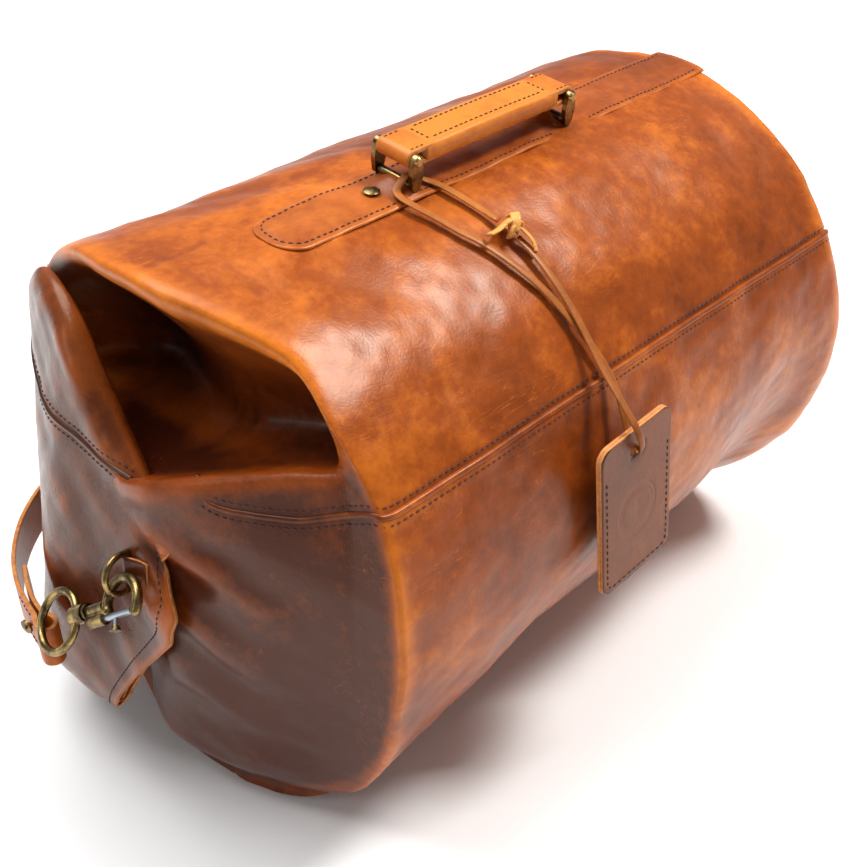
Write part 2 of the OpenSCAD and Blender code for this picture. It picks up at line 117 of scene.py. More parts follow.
def curve(points, per_span):
    """Catmull-Rom curve through the points."""
    p = np.asarray(points, float)
    p = np.vstack([2 * p[0] - p[1], p, 2 * p[-1] - p[-2]])
    out = []
    for i in range(1, len(p) - 2):
        for t in np.arange(per_span) / per_span:
            a, b, c, d = p[i - 1:i + 3]
            out.append(0.5 * (2 * b + (c - a) * t + (2 * a - 5 * b + 4 * c - d) * t ** 2
                              + (3 * b - a - 3 * c + d) * t ** 3))
    return np.array(out + [p[-2]])


def even(points, step):
    """The same line with its points step apart."""
    p = np.asarray(points, float)
    run = np.concatenate([[0], np.cumsum(np.linalg.norm(np.diff(p, axis=0), axis=1))])
    at = np.linspace(0, run[-1], max(2, int(run[-1] / step) + 1))
    return np.column_stack([np.interp(at, run, p[:, i]) for i in range(3)])


def waves(p, size, seed, octaves=3):
    """Smooth random lumps over space, about -1 to 1."""
    rng = np.random.default_rng(seed)
    out = np.zeros(p.shape[:-1])
    for o in range(octaves):
        for _ in range(5):
            k = unit(rng.normal(size=3)) * 2 * math.pi / (size / 1.9 ** o)
            out += np.sin(p @ k + rng.uniform(0, 6.3)) * 0.32 / 1.6 ** o
    return out


def add_mesh(name, verts, faces, mats, face_mat=None, body="bag", attribute=None):
    """A visual piece from points in millimetres, riding on a body; attribute is how worn each point looks,
    with painted shade and highlight added in places.
    """
    me = bpy.data.meshes.new(name)
    me.from_pydata((np.asarray(verts) * MM).tolist(), [], [tuple(int(v) for v in f) for f in faces])
    me.update()
    for m in mats:
        me.materials.append(m)
    if face_mat is not None:
        me.polygons.foreach_set("material_index", np.asarray(face_mat, dtype=np.int32))
    me.polygons.foreach_set("use_smooth", np.full(len(me.polygons), True))
    if attribute is not None:
        layer = me.attributes.new("wear_and_shade", "FLOAT", "POINT")
        layer.data.foreach_set("value", np.asarray(attribute, dtype=np.float32))
    ob = bpy.data.objects.new(name, me)
    bpy.context.collection.objects.link(ob)
    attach(ob, body)
    return ob


def grid_faces(n, m, wrap=False, flip=False, base=0):
    faces = []
    for i in range(n - 1):
        for j in range(m if wrap else m - 1):
            a, b = base + i * m + j, base + i * m + (j + 1) % m
            f = (a, b, b + m, a + m)
            faces.append(f[::-1] if flip else f)
    return faces


def caps(n, m, base=0):
    """The two flat ends of a tube of n rings with m points each."""
    last = base + (n - 1) * m
    return [tuple(range(base, base + m))[::-1], tuple(range(last, last + m))]


def raw_after(faces, first):
    """Material numbers: 0 up to the first cut face, 1 from there on."""
    return [0] * first + [1] * (len(faces) - first)


def shell(outer, inner, wrap=False):
    """A closed sheet between two grids of points: its vertices, faces and where its edge faces start."""
    n, m = outer.shape[:2]
    k = n * m
    faces = grid_faces(n, m, wrap) + grid_faces(n, m, wrap, True, k)
    if wrap:
        edge = [(j, j + k, (j + 1) % m + k, (j + 1) % m) for j in range(m)]
        last = (n - 1) * m
        edge += [(last + (j + 1) % m, last + (j + 1) % m + k, last + j + k, last + j) for j in range(m)]
    else:
        rim = list(range(m)) + [i * m + m - 1 for i in range(1, n)]
        rim += [(n - 1) * m + j for j in range(m - 2, -1, -1)] + [i * m for i in range(n - 2, 0, -1)]
        edge = [(rim[(i + 1) % len(rim)], rim[i], rim[i] + k, rim[(i + 1) % len(rim)] + k)
                for i in range(len(rim))]
    return np.concatenate([outer.reshape(-1, 3), inner.reshape(-1, 3)]), faces + edge, len(faces)


def sweep(path, up, profile, closed=False):
    """A profile, as (across, up) pairs, carried along a path. up holds one direction for each point."""
    path = np.asarray(path, float)
    t = np.gradient(path, axis=0)
    if closed:
        t = np.roll(path, -1, axis=0) - np.roll(path, 1, axis=0)
    t = unit(t)
    side = unit(np.cross(t, up))
    high = np.cross(side, t)
    prof = np.asarray(profile, float)
    verts = path[:, None] + side[:, None] * prof[None, :, :1] + high[:, None] * prof[None, :, 1:]
    n, m = verts.shape[:2]
    faces = grid_faces(n, m, True)
    if closed:
        faces += [((n - 1) * m + j, (n - 1) * m + (j + 1) % m, (j + 1) % m, j) for j in range(m)]
    else:
        faces += caps(n, m)
    return verts.reshape(-1, 3), faces


def signed_power(v, power):
    return np.sign(v) * np.abs(v) ** power


def oval(w, h, sides=10, power=1.0):
    """A closed outline of w by h; a power under 1 makes it boxier."""
    q = np.arange(sides) * 2 * math.pi / sides
    return np.column_stack([signed_power(np.cos(q), power) * w / 2, signed_power(np.sin(q), power) * h / 2])


class Surface:
    """Finds the place and outward direction of a built surface near a point."""

    def __init__(self, verts, faces):
        self.tree = BVHTree.FromPolygons([Vector(v) for v in verts], faces)

    def near(self, points):
        hit = [self.tree.find_nearest(Vector(p)) for p in points]
        return np.array([h[0] for h in hit]), np.array([h[1] for h in hit])

    def line(self, guide, step=1.0, shift=0.0, ease=3):
        """Guide points laid on the surface and moved sideways by shift."""
        p = even(guide, step)
        p, n = self.near(p)
        for _ in range(ease):
            p[1:-1] = (p[:-2] + 2 * p[1:-1] + p[2:]) / 4
            n[1:-1] = unit((n[:-2] + 2 * n[1:-1] + n[2:]) / 4)
        if shift:
            side = unit(np.cross(unit(np.gradient(p, axis=0)), n))
            p = p + side * shift
            p, m = self.near(p)
            n = unit(n + m)
            for _ in range(ease):
                p[1:-1] = (p[:-2] + 2 * p[1:-1] + p[2:]) / 4
        return p, n


# A stitch as rings from end to end: how thick each is, and how far it dips into its hole
STITCH_FAT = np.array([0.35, 0.85, 1, 1, 0.85, 0.35])
STITCH_DIP = np.array([0.75, 0.2, 0, 0, 0.2, 0.75])
STITCH_SIDES = 6
STITCH_SINK = 0.1


def stitches(name, path, normals, body="bag", pitch=3.8, length=2.9, r=0.4):
    """A row of sewn stitches along a line on a surface."""
    rings = len(STITCH_FAT)
    path = np.asarray(path, float)
    run = np.concatenate([[0], np.cumsum(np.linalg.norm(np.diff(path, axis=0), axis=1))])
    starts = np.arange(pitch / 2, run[-1] - length, pitch)
    along = np.linspace(0, 1, rings)
    verts, faces = [], []
    for start in starts:
        s = start + along * length + RNG.uniform(-0.15, 0.15)
        c = np.column_stack([np.interp(s, run, path[:, i]) for i in range(3)])
        n = unit(np.column_stack([np.interp(s, run, normals[:, i]) for i in range(3)]))
        t = unit(c[-1] - c[0])
        side = unit(np.cross(t, n))
        base = len(verts)
        for i in range(rings):
            mid = c[i] + n[i] * (r * 0.75 - STITCH_SINK - STITCH_DIP[i] * r * 1.4)
            for q in np.arange(STITCH_SIDES) * 2 * math.pi / STITCH_SIDES:
                verts.append(mid + (side[i] * math.cos(q) + n[i] * math.sin(q)) * r * STITCH_FAT[i])
        faces += grid_faces(rings, STITCH_SIDES, True, False, base) + caps(rings, STITCH_SIDES, base)
    return add_mesh(name, verts, faces, [THREAD], body=body)


# -------------------------------------------- materials
class Nodes:
    """Short calls for building one material's node tree."""

    def __init__(self, name):
        self.mat = bpy.data.materials.new(name)
        self.mat.use_nodes = True
        self.tree = self.mat.node_tree
        self.shader = self.tree.nodes["Principled BSDF"]
        self.place = self.tree.nodes.new("ShaderNodeTexCoord").outputs["Object"]

    def put(self, kind, **values):
        node = self.tree.nodes.new(kind)
        for k, v in values.items():
            setattr(node, k, v)
        return node

    def link(self, a, b):
        self.tree.links.new(a, b)

    def stretch(self, scale, rotation=(0, 0, 0)):
        node = self.put("ShaderNodeMapping")
        node.inputs["Scale"].default_value = scale
        node.inputs["Rotation"].default_value = rotation
        self.link(self.place, node.inputs["Vector"])
        return node.outputs["Vector"]

    def noise(self, scale, detail=5, rough=0.55, distort=0.0, place=None):
        node = self.put("ShaderNodeTexNoise")
        node.inputs["Scale"].default_value = scale
        node.inputs["Detail"].default_value = detail
        node.inputs["Roughness"].default_value = rough
        node.inputs["Distortion"].default_value = distort
        self.link(place or self.place, node.inputs["Vector"])
        return node.outputs["Fac"]

    def cells(self, scale, feature="F1"):
        node = self.put("ShaderNodeTexVoronoi", feature=feature)
        node.inputs["Scale"].default_value = scale
        self.link(self.place, node.inputs["Vector"])
        return node.outputs["Distance"]

    def math(self, kind, a, b=None, clamp=False):
        node = self.put("ShaderNodeMath", operation=kind, use_clamp=clamp)
        for i, v in enumerate((a, b)):
            if v is None:
                continue
            if isinstance(v, (int, float)):
                node.inputs[i].default_value = v
            else:
                self.link(v, node.inputs[i])
        return node.outputs[0]

    def ramp(self, value, stops):
        node = self.put("ShaderNodeValToRGB")
        while len(node.color_ramp.elements) < len(stops):
            node.color_ramp.elements.new(0.5)
        for e, (at, colour) in zip(node.color_ramp.elements, stops):
            e.position = at
            e.color = colour if len(colour) == 4 else (*colour, 1)
        self.link(value, node.inputs["Fac"])
        return node.outputs["Color"]

    def mix(self, fac, a, b, blend="MIX"):
        node = self.put("ShaderNodeMix", data_type="RGBA", blend_type=blend)
        ins = [s for s in node.inputs if s.enabled]
        for socket, v in zip(ins, (fac, a, b)):
            if isinstance(v, (int, float)):
                socket.default_value = v
            elif isinstance(v, tuple):
                socket.default_value = (*v, 1)
            else:
                self.link(v, socket)
        return [s for s in node.outputs if s.enabled][0]

    def bump(self, height, strength, distance, after=None):
        node = self.put("ShaderNodeBump")
        node.inputs["Strength"].default_value = strength
        node.inputs["Distance"].default_value = distance
        self.link(height, node.inputs["Height"])
        if after is not None:
            self.link(after, node.inputs["Normal"])
        return node.outputs["Normal"]

    def wear_and_shade(self):
        node = self.put("ShaderNodeAttribute", attribute_name="wear_and_shade")
        return node.outputs["Fac"]


def pull_up(name, dark, mid, light, rough=0.36, grain=1.0, contrast=1.0):
    """Waxed pull-up leather: cloudy colour, paler where it is bent, darker where painted shade is put in,
    fine grain and a few scratches.
    """
    m = Nodes(name)
    cloud = m.noise(6, 7, 0.62, 0.5)
    spots = m.noise(30, 7, 0.7, 0.4)
    fine = m.noise(190, 4, 0.6)
    tone = m.math("ADD", m.math("MULTIPLY", cloud, 0.62), m.math("MULTIPLY", spots, 0.26))
    tone = m.math("ADD", tone, m.math("MULTIPLY", fine, 0.14))
    # the wear_and_shade attribute: rubbed ridges, plus painted shade and painted highlight
    tone = m.math("ADD", tone, m.math("MULTIPLY", m.wear_and_shade(), 0.30))
    tone = m.math("ADD", m.math("MULTIPLY", m.math("SUBTRACT", tone, 0.51), 2.0 * contrast), 0.5)
    colour = m.ramp(tone, [(0.12, dark), (0.5, mid), (0.88, light)])
    # scratches: thin pale marks running mostly along the bag
    marks = m.noise(34, 3, 0.5, 2.2, m.stretch((0.35, 2.2, 2.2), (0.2, 0.5, 0.3)))
    off_line = m.math("ABSOLUTE", m.math("SUBTRACT", marks, 0.5))
    line = m.math("SUBTRACT", 1.0, m.math("MULTIPLY", off_line, 130.0), True)
    few = m.math("GREATER_THAN", m.noise(16, 2), 0.56)
    scratch = m.math("MULTIPLY", m.math("MULTIPLY", line, few), 0.32)
    colour = m.mix(scratch, colour, light)
    m.link(colour, m.shader.inputs["Base Color"])
    r = m.math("ADD", m.math("MULTIPLY", m.math("SUBTRACT", spots, 0.5), 0.35), rough)
    m.link(m.math("ADD", r, m.math("MULTIPLY", scratch, 0.4), True), m.shader.inputs["Roughness"])
    pebble = m.cells(640 * grain)
    creases = m.cells(150, "DISTANCE_TO_EDGE")
    height = m.math("ADD", m.math("MULTIPLY", pebble, 0.5), m.math("MULTIPLY", fine, 0.8))
    height = m.math("ADD", height, m.math("MULTIPLY", m.math("MINIMUM", creases, 0.08), 3.0))
    first = m.bump(m.noise(24, 4, 0.5), 0.22, 0.004)
    m.link(m.bump(height, 0.3, 0.0003, first), m.shader.inputs["Normal"])
    m.shader.inputs["Specular IOR Level"].default_value = 0.26
    m.shader.inputs["Specular Tint"].default_value = (1.0, 0.74, 0.54, 1)
    m.shader.inputs["Coat Weight"].default_value = 0.14
    m.shader.inputs["Coat Roughness"].default_value = 0.24
    return m.mat


def raw(name, base, pale):
    """Cut edges and the flesh side: bright, matte and fibrous."""
    m = Nodes(name)
    fuzz = m.noise(260, 5, 0.7)
    m.link(m.ramp(fuzz, [(0.3, base), (0.7, pale)]), m.shader.inputs["Base Color"])
    m.link(m.bump(m.noise(420, 4, 0.7), 0.6, 0.0006), m.shader.inputs["Normal"])
    m.shader.inputs["Roughness"].default_value = 0.85
    return m.mat


def brass(name, dark, bright, rough):
    m = Nodes(name)
    patina = m.noise(120, 5, 0.65)
    m.link(m.ramp(patina, [(0.36, dark), (0.62, bright)]), m.shader.inputs["Base Color"])
    m.link(m.math("ADD", m.math("MULTIPLY", patina, -0.25), rough + 0.12), m.shader.inputs["Roughness"])
    m.link(m.bump(m.noise(340, 3, 0.6), 0.18, 0.0004), m.shader.inputs["Normal"])
    m.shader.inputs["Metallic"].default_value = 1.0
    return m.mat


def plain(name, colour, rough, metal=0.0, bumpy=0.0):
    m = Nodes(name)
    m.link(m.mix(m.noise(300, 3), tuple(c * 0.75 for c in colour), colour), m.shader.inputs["Base Color"])
    m.shader.inputs["Roughness"].default_value = rough
    m.shader.inputs["Metallic"].default_value = metal
    if bumpy:
        m.link(m.bump(m.noise(900, 3), bumpy, 0.0004), m.shader.inputs["Normal"])
    return m.mat


TAN = pull_up("leather_body", (0.060, 0.010, 0.003), (0.27, 0.052, 0.005), (0.66, 0.175, 0.014))
FLAP = pull_up("leather_flap", (0.020, 0.005, 0.002), (0.085, 0.018, 0.005), (0.36, 0.080, 0.010), 0.3,
               contrast=0.55)
STRIP = pull_up("leather_strip", (0.060, 0.012, 0.004), (0.26, 0.055, 0.010), (0.52, 0.14, 0.020), 0.34)
GRIP = pull_up("leather_grip", (0.09, 0.018, 0.004), (0.30, 0.062, 0.008), (0.60, 0.18, 0.024), 0.36)
LACE = pull_up("leather_lace", (0.08, 0.020, 0.006), (0.30, 0.085, 0.014), (0.52, 0.18, 0.03), 0.5)
KNOT = pull_up("leather_knot", (0.30, 0.10, 0.02), (0.58, 0.24, 0.05), (0.80, 0.40, 0.11), 0.5)
TAG_FACE = pull_up("leather_tag", (0.05, 0.014, 0.006), (0.17, 0.045, 0.014), (0.30, 0.095, 0.028), 0.5,
                   grain=1.2, contrast=0.8)
RAW = raw("leather_edge", (0.42, 0.13, 0.03), (0.72, 0.29, 0.08))
THREAD = plain("thread", (0.060, 0.014, 0.010), 0.7, bumpy=0.4)
BRASS = brass("antique_brass", (0.055, 0.038, 0.018), (0.40, 0.28, 0.11), 0.3)
PIN_BRASS = brass("bright_brass", (0.28, 0.19, 0.07), (0.66, 0.48, 0.20), 0.24)
STEEL = plain("steel", (0.42, 0.47, 0.52), 0.32, 1.0)
BOARD = plain("board", (0.30, 0.22, 0.15), 0.9)


# -------------------------------------------- the body's leather skin
# Where the mouth's edge lies along the bag, by its angle from the top towards -Y
MOUTH = [(-70, -184), (-45, -195), (-28, -205), (-10, -212), (6, -213), (16, -205), (27, -195), (36, -188),
         (45, -190), (60, -190), (80, -197), (100, -200), (125, -196), (145, -194), (165, -215), (180, -219),
         (195, -216), (215, -202), (240, -188), (290, -184), (315, -195)]


BASE_ROUND = 12         # the leather turns in over this much of its length at the base


def side(th, x, inset=0.0):
    """A point of the body's side at an angle from the top towards -Y."""
    # fuller at the mouth's low near corner and at its far top corner
    fuller = 12 * bump(th, 148, 20) * bump(x, -205, 30)
    corner = 5 * bump(th, -44, 22) * bump(x, -198, 45)
    corner_again = 5 * bump(th, 316, 22) * bump(x, -198, 45)
    # flatter along the near side's lower half, with a dent before the base
    flat = 8 * bump(th, 126, 30) * smooth(x, -170, -40) * (1 - smooth(x, 150, 186))
    dent = 9 * bump(th, 112, 26) * bump(x, 132, 42)
    r = BAG_R + fuller - flat - dent + corner + corner_again
    r = r - 6 * np.maximum(0, (x - BASE_X + BASE_ROUND) / BASE_ROUND) ** 2.5 - inset
    for seam_at in (SEAM, 360 - SEAM, -SEAM):
        r = r - 0.9 * bump(th, seam_at - 0.2, 0.45) + 0.5 * bump(th, seam_at + 1.2, 1.3)
    a = np.radians(th)
    p = np.stack([x + 0 * r, -r * np.sin(a), np.maximum(inset, AXIS_Z + r * np.cos(a))], axis=-1)
    lumps = 1.3 * waves(p, 150, 3) + 0.45 * waves(p, 46, 5)
    lumps = lumps * smooth(p[..., 2], 4, 40) * (1 - 0.6 * bump(th % 360, 0, 12))
    p[..., 1] -= np.sin(a) * lumps
    p[..., 2] += np.cos(a) * lumps
    p[..., 2] = np.maximum(p[..., 2], 0.0)
    return p


def mouth_x(th):
    angles, x = zip(*MOUTH)
    return np.interp(th, angles, x)


# Corners of the end, as angles from the top towards -Y
TOP_NEAR, LOW_NEAR, LOW_FAR, TOP_FAR = 45.0, 150.0, 210.0, 315.0
# How far the rim is rounded off, by its angle from the top: a wide roll above, a crease down the near side
SOFT_AT = [-45, -20, 20, 40, 56, 70, 150, 180, 210, 315]
SOFT = [0.8, 1.0, 1.0, 0.9, 0.35, 0.07, 0.07, 0.2, 0.6, 0.8]


def ring(th, inset=0.0):
    """The mouth's edge, drawn out a little over the top."""
    th = np.where(np.asarray(th) > TOP_FAR, np.asarray(th) - 360, th)
    return side(th, mouth_x(th) + 3 - 8 * bump(th, -2, 34), inset)


POCKET_IN = 60          # how far the end is tucked into the bag
POCKET_DROP = 38        # and how far down its floor hangs
BULGE = 20              # how far the end swells out below the pocket
FAR_PULL = 50           # how far the folded tube draws the far side in
# Sideways folds of the end: height, slope, width and depth
END_FOLDS = [(168, 0.35, 12, 4.2), (128, 0.42, 15, 4.6), (84, 0.16, 16, 3.4), (42, -0.1, 12, 1.8)]


def pocket_low(u):
    """How far down the end the pocket's lower lip lies."""
    return 0.10 + 0.45 * np.minimum(u, 0.5)


def end_patch(u, v):
    """The end of the bag inside the mouth edge: bulged, wrinkled, and tucked in below its top edge."""
    top, low = ring(TOP_NEAR - 90 * u), ring(LOW_NEAR + 60 * u)
    near, far = ring(TOP_NEAR + 105 * v), ring(TOP_FAR - 105 * v)
    corners = [ring(np.full(u.shape, a)) for a in (TOP_NEAR, TOP_FAR, LOW_NEAR, LOW_FAR)]
    a, b = u[..., None], v[..., None]
    p = ((1 - b) * top + b * low + (1 - a) * near + a * far
         - (1 - a) * (1 - b) * corners[0] - a * (1 - b) * corners[1]
         - (1 - a) * b * corners[2] - a * b * corners[3])
    lip = pocket_low(u)
    across = np.maximum(0, np.sin(math.pi * u))
    deep = lip * 0.6
    inward = np.where(v < deep, np.sin(math.pi / 2 * np.clip(v / deep, 0, 1)) ** 0.8,
                      np.cos(math.pi / 2 * np.clip((v - deep) / (lip - deep), 0, 1)) ** 0.7)
    tuck = inward * across ** 0.3 * smooth(u, 0.09, 0.2)
    full = across ** 0.8 * bump(u, 0.42, 0.36)
    p[..., 0] += POCKET_IN * tuck - BULGE * full * smooth(v, 0.1, 0.36) * (1 - smooth(v, 0.86, 1.0))
    p[..., 0] -= 3 * full * bump(v, lip + 0.02, 0.03)
    p[..., 0] += FAR_PULL * across * np.sin(math.pi * v) * bump(u, 0.86, 0.18)
    p[..., 2] -= POCKET_DROP * tuck
    # the folds that the mouth's pull leaves are strongest in the middle
    for height, slope, wide, deepness in END_FOLDS:
        at = p[..., 2] - height - slope * (p[..., 1] + 60) - 5 * np.sin(p[..., 1] / 17 + height)
        fade = across * smooth(v, 0.3, 0.42) * bump(p[..., 1], -58 + height % 19, 44)
        p[..., 0] -= deepness * np.exp(-(at / wide) ** 2) * fade
        p[..., 0] += 0.6 * deepness * np.exp(-((at - 1.5 * wide) / wide) ** 2) * fade
    p[..., 0] += 0.8 * waves(p, 60, 11) * across * smooth(v, 0.3, 0.4)
    return p


def merge(points, faces):
    """Joins points that lie on each other."""
    key = np.round(points * 50).astype(np.int64)
    _, first, index = np.unique(key, axis=0, return_index=True, return_inverse=True)
    index = index.reshape(-1)
    faces = [tuple(dict.fromkeys(int(index[v]) for v in f)) for f in faces]
    return points[first], [f for f in faces if len(f) > 2]


def edge_pairs(faces):
    return np.array([(f[i], f[(i + 1) % len(f)]) for f in faces for i in range(len(f))])


def relax(points, faces, weight, rounds):
    """Rounds a mesh off where weight is high."""
    e = edge_pairs(faces)
    e = np.concatenate([e, e[:, ::-1]])
    count = np.bincount(e[:, 0], minlength=len(points))[:, None]
    for _ in range(rounds):
        total = np.zeros_like(points)
        for k in range(3):
            total[:, k] = np.bincount(e[:, 0], points[e[:, 1], k], len(points))
        points = points + (total / count - points) * weight[:, None] * 0.6
    return points


def vertex_normals(points, faces):
    n = np.zeros_like(points)
    tri = np.array([(f[0], f[i], f[i + 1]) for f in faces for i in range(1, len(f) - 1)])
    c = np.cross(points[tri[:, 1]] - points[tri[:, 0]], points[tri[:, 2]] - points[tri[:, 0]])
    for k in range(3):
        for j in range(3):
            n[:, j] += np.bincount(tri[:, k], c[:, j], len(points))
    return unit(n)


def roundness(points, faces, rounds=3):
    """Positive on ridges and edges, negative in creases: ridges are rubbed pale, and creases are darkened as
    painted shade.
    """
    n = vertex_normals(points, faces)
    flat = relax(points, faces, np.ones(len(points)), 4)
    value = np.einsum("ij,ij->i", points - flat, n)
    e = edge_pairs(faces)
    count = np.bincount(e[:, 0], minlength=len(points))
    for _ in range(rounds):
        value = 0.5 * value + 0.5 * np.bincount(e[:, 0], value[e[:, 1]], len(points)) / np.maximum(count, 1)
    return np.clip(value / 0.35, -1, 1)


def build_skin():
    """The body's side and mouth end as one welded skin, its rim rounded off."""
    steps_v, steps_u, steps_x = 150, 130, 118
    near = np.linspace(TOP_NEAR, LOW_NEAR, steps_v + 1)
    low = np.linspace(LOW_NEAR, LOW_FAR, steps_u + 1)[1:]
    far = np.linspace(LOW_FAR, TOP_FAR, steps_v + 1)[1:]
    top = np.linspace(TOP_FAR, TOP_NEAR + 360, steps_u + 1)[1:-1]
    th = np.concatenate([near, low, far, top])
    label = np.where(th > TOP_FAR, th - 360, th)
    rows = np.linspace(0, 1, steps_x)
    start = ring(label)[:, 0]
    x = start[None] + (BASE_X - start[None]) * rows[:, None]
    outer = side(np.broadcast_to(label, x.shape), x)
    pts = outer.reshape(-1, 3)
    faces = grid_faces(*outer.shape[:2], True)
    u, v = np.meshgrid(np.linspace(0, 1, steps_u + 1), np.linspace(0, 1, steps_v + 1), indexing="ij")
    patch = end_patch(u, v)
    faces += grid_faces(steps_u + 1, steps_v + 1, False, True, len(pts))
    pts, faces = merge(np.concatenate([pts, patch.reshape(-1, 3)]), faces)
    rim = ring(label)[::4]
    gap = np.linalg.norm(pts[:, None, :] - rim[None], axis=2)
    soft = np.interp(label[::4][np.argmin(gap, axis=1)], SOFT_AT, SOFT)
    pts = relax(pts, faces, soft * np.exp(-(np.min(gap, axis=1) / (4 + 8 * soft)) ** 2), 30)
    pts[:, 2] = np.maximum(pts[:, 2], 0)
    return pts, faces


RIDGE_RUB_CREASE_SHADE = 0.45        # how much paler the leather is rubbed on its ridges, and how much darker its creases are painted as shade
END_PAINTED_SHADE = 0.62         # painted shade: how much darker the end is painted, standing in for the shade it lies in
POCKET_PAINTED_SHADE = 0.35      # and the painted shade inside the pocket


# The skin's tone: ridges rubbed pale, and painted shade in the creases, over the end and inside the pocket
def skin_tone(points, faces):
    x, z = points[:, 0], points[:, 2]
    from_axis = np.hypot(points[:, 1], z - AXIS_Z)
    # the end wall, which is painted darker as shade
    on_end = (1 - smooth(x, -186, -170)) * (1 - smooth(z, 236, 250)) * (1 - smooth(from_axis, 143, 154))
    # the inside of the pocket, painted darker as shade
    in_pocket = smooth(x, -204, -190) * (1 - smooth(from_axis, 118, 138)) * smooth(z, 196, 212)
    in_pocket = in_pocket * (1 - smooth(x, -100, -60))
    on_end = on_end * (1 - in_pocket)
    return RIDGE_RUB_CREASE_SHADE * roundness(points, faces, 6) - END_PAINTED_SHADE * on_end - POCKET_PAINTED_SHADE * in_pocket


skin_pts, skin_faces = build_skin()
skin = add_mesh("skin", skin_pts, skin_faces, [TAN], attribute=skin_tone(skin_pts, skin_faces))
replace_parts(skin, "upper_panel", "lower_panel", "fold_panel", "end_panel")
thickness = skin.modifiers.new("thickness", "SOLIDIFY")
thickness.thickness = LEATHER * MM
thickness.offset = -1
SKIN = Surface(skin_pts, skin_faces)


# -------------------------------------------- the folded mouth tube
# Top crease, bottom crease, half thickness and outward direction of each section, from body to hem
CREASE_TOP = [(-176, 128, 226), (-192, 116, 246), (-200, 92, 270), (-210, 52, 262), (-217, 14, 217),
              (-227, -30, 181)]
CREASE_LOW = [(-180, 140, 62), (-198, 122, 50), (-229, 104, 38), (-243, 82, 34), (-245, 54, 34),
              (-243, 25, 37)]
HALF = [4, 6, 8, 11, 11, 8]
OUT = [(-0.4, 0.92, 0), (-0.6, 0.8, 0), (-0.85, 0.52, 0), (-0.98, 0.2, 0), (-1, 0.05, 0), (-1, 0, 0)]
# How far the hem reaches past the straight line between its corners, down the section
HEM_REACH = [(0, 7), (0.08, 2), (0.15, 10), (0.24, 27), (0.36, 30), (0.5, 22), (0.7, 11), (0.86, 4), (1, 0)]


TUBE_ROWS, TUBE_AROUND = 96, 144


def columns(s, knots, table):
    """Each column of a table of places, read at s."""
    return np.column_stack([np.interp(s, knots, column) for column in np.transpose(table)])


def sleeve_grid(inset):
    """The squashed tube's leather, inset from its outside."""
    s = np.linspace(0, 1, TUBE_ROWS)
    top, low = curve(CREASE_TOP, 16), curve(CREASE_LOW, 16)
    knots = np.linspace(0, 1, len(top))
    a, b = columns(s, knots, top), columns(s, knots, low)
    sections = range(len(OUT))
    at = s * (len(OUT) - 1)
    out = unit(columns(at, sections, OUT))
    half = np.interp(at, sections, HALF)[:, None] - inset
    q = np.arange(TUBE_AROUND) * 2 * math.pi / TUBE_AROUND
    arm = (a - b) / 2
    arm = arm * (1 - inset / np.linalg.norm(arm, axis=1, keepdims=True))
    # the roll along the top crease is rounder than the rest
    fat = signed_power(np.sin(q), 0.62) * (1 + 0.5 * bump(q, 0.35, 0.3))
    p = (a + b)[:, None] / 2 + arm[:, None] * np.cos(q)[None, :, None]
    p += (out * half)[:, None] * fat[None, :, None]
    down = (1 - np.cos(q)) / 2
    where, reach = zip(*HEM_REACH)
    far = np.interp(down, where, reach)[None] * smooth(s, 0.62, 1.0)[:, None]
    outer_side = (q < math.pi)[None] | (down > 0.93)[None]
    p[..., 1] -= np.where(outer_side, far, far * 0.55)
    p[..., 0] -= np.where(outer_side, far * 0.06, 0)
    # slack waves in the leather
    wavy = 2.2 * waves(p, 120, 21) + 0.8 * waves(p, 44, 22)
    lift = (wavy * 0.55 + flap_relief(s, down)) * np.where(q < math.pi, 1, 0.4)[None]
    p += out[:, None] * lift[..., None] * smooth(s, 0.0, 0.2)[:, None, None]
    p[..., 2] = np.maximum(p[..., 2], 3)
    return p


def flap_relief(s, down):
    """Hollow and swelling that pass down the flap beside the hem."""
    hollow = -4.5 * np.outer(bump(s, 0.84, 0.10), bump(down, 0.55, 0.16))
    swell = 4.0 * np.outer(bump(s, 0.97, 0.07), bump(down, 0.30, 0.10))
    pinch = -3.5 * np.outer(bump(s, 0.97, 0.05), bump(down, 0.12, 0.05))
    return hollow + swell + pinch


sleeve_out = sleeve_grid(0)
sleeve_pts, sleeve_faces, _ = shell(sleeve_out, sleeve_grid(LEATHER), True)
hem_cut = raw_after(sleeve_faces, len(sleeve_faces) - TUBE_AROUND)
# its roundness pales the top crease, partly rubbed pale and partly a painted highlight, and darkens its folds
# as painted shade
mouth = add_mesh("mouth", sleeve_pts, sleeve_faces, [FLAP, RAW], hem_cut,
                 attribute=roundness(sleeve_pts, sleeve_faces))
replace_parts(mouth, "mouth_sleeve")
SLEEVE = Surface(sleeve_pts, sleeve_faces)


# -------------------------------------------- seams
BEAD = [(-1.7, -0.3), (-1.5, 0.35), (-0.8, 0.95), (0.3, 1.15), (1.2, 0.9), (1.7, 0.1), (1.5, -0.4)]


def seam(name, surface, guide, leather):
    """A raised welt with a row of stitches on each side."""
    path, up = surface.line(guide, 1.5, 0, 6)
    verts, faces = sweep(path, up, BEAD)
    # the welt is painted darker where it crosses the end, the same painted shade as the end
    welt = add_mesh(name, verts, faces, [leather], attribute=-0.5 * (1 - smooth(verts[:, 0], -192, -180)))
    for k, reach in enumerate((-SEAM_REACH, SEAM_REACH)):
        row, n = surface.line(guide, 1.5, reach, 6)
        stitches(f"{name}_stitches_{k + 1}", row, n)
    return welt


def along_side(th, x_end):
    """A line along the body's side at one angle, from the base towards the mouth."""
    return [side(np.array(th), np.array(float(x))).tolist() for x in range(BASE_X - 4, x_end, -12)]


WELT = SEAM + 0.6
near_guide = along_side(WELT, -186)
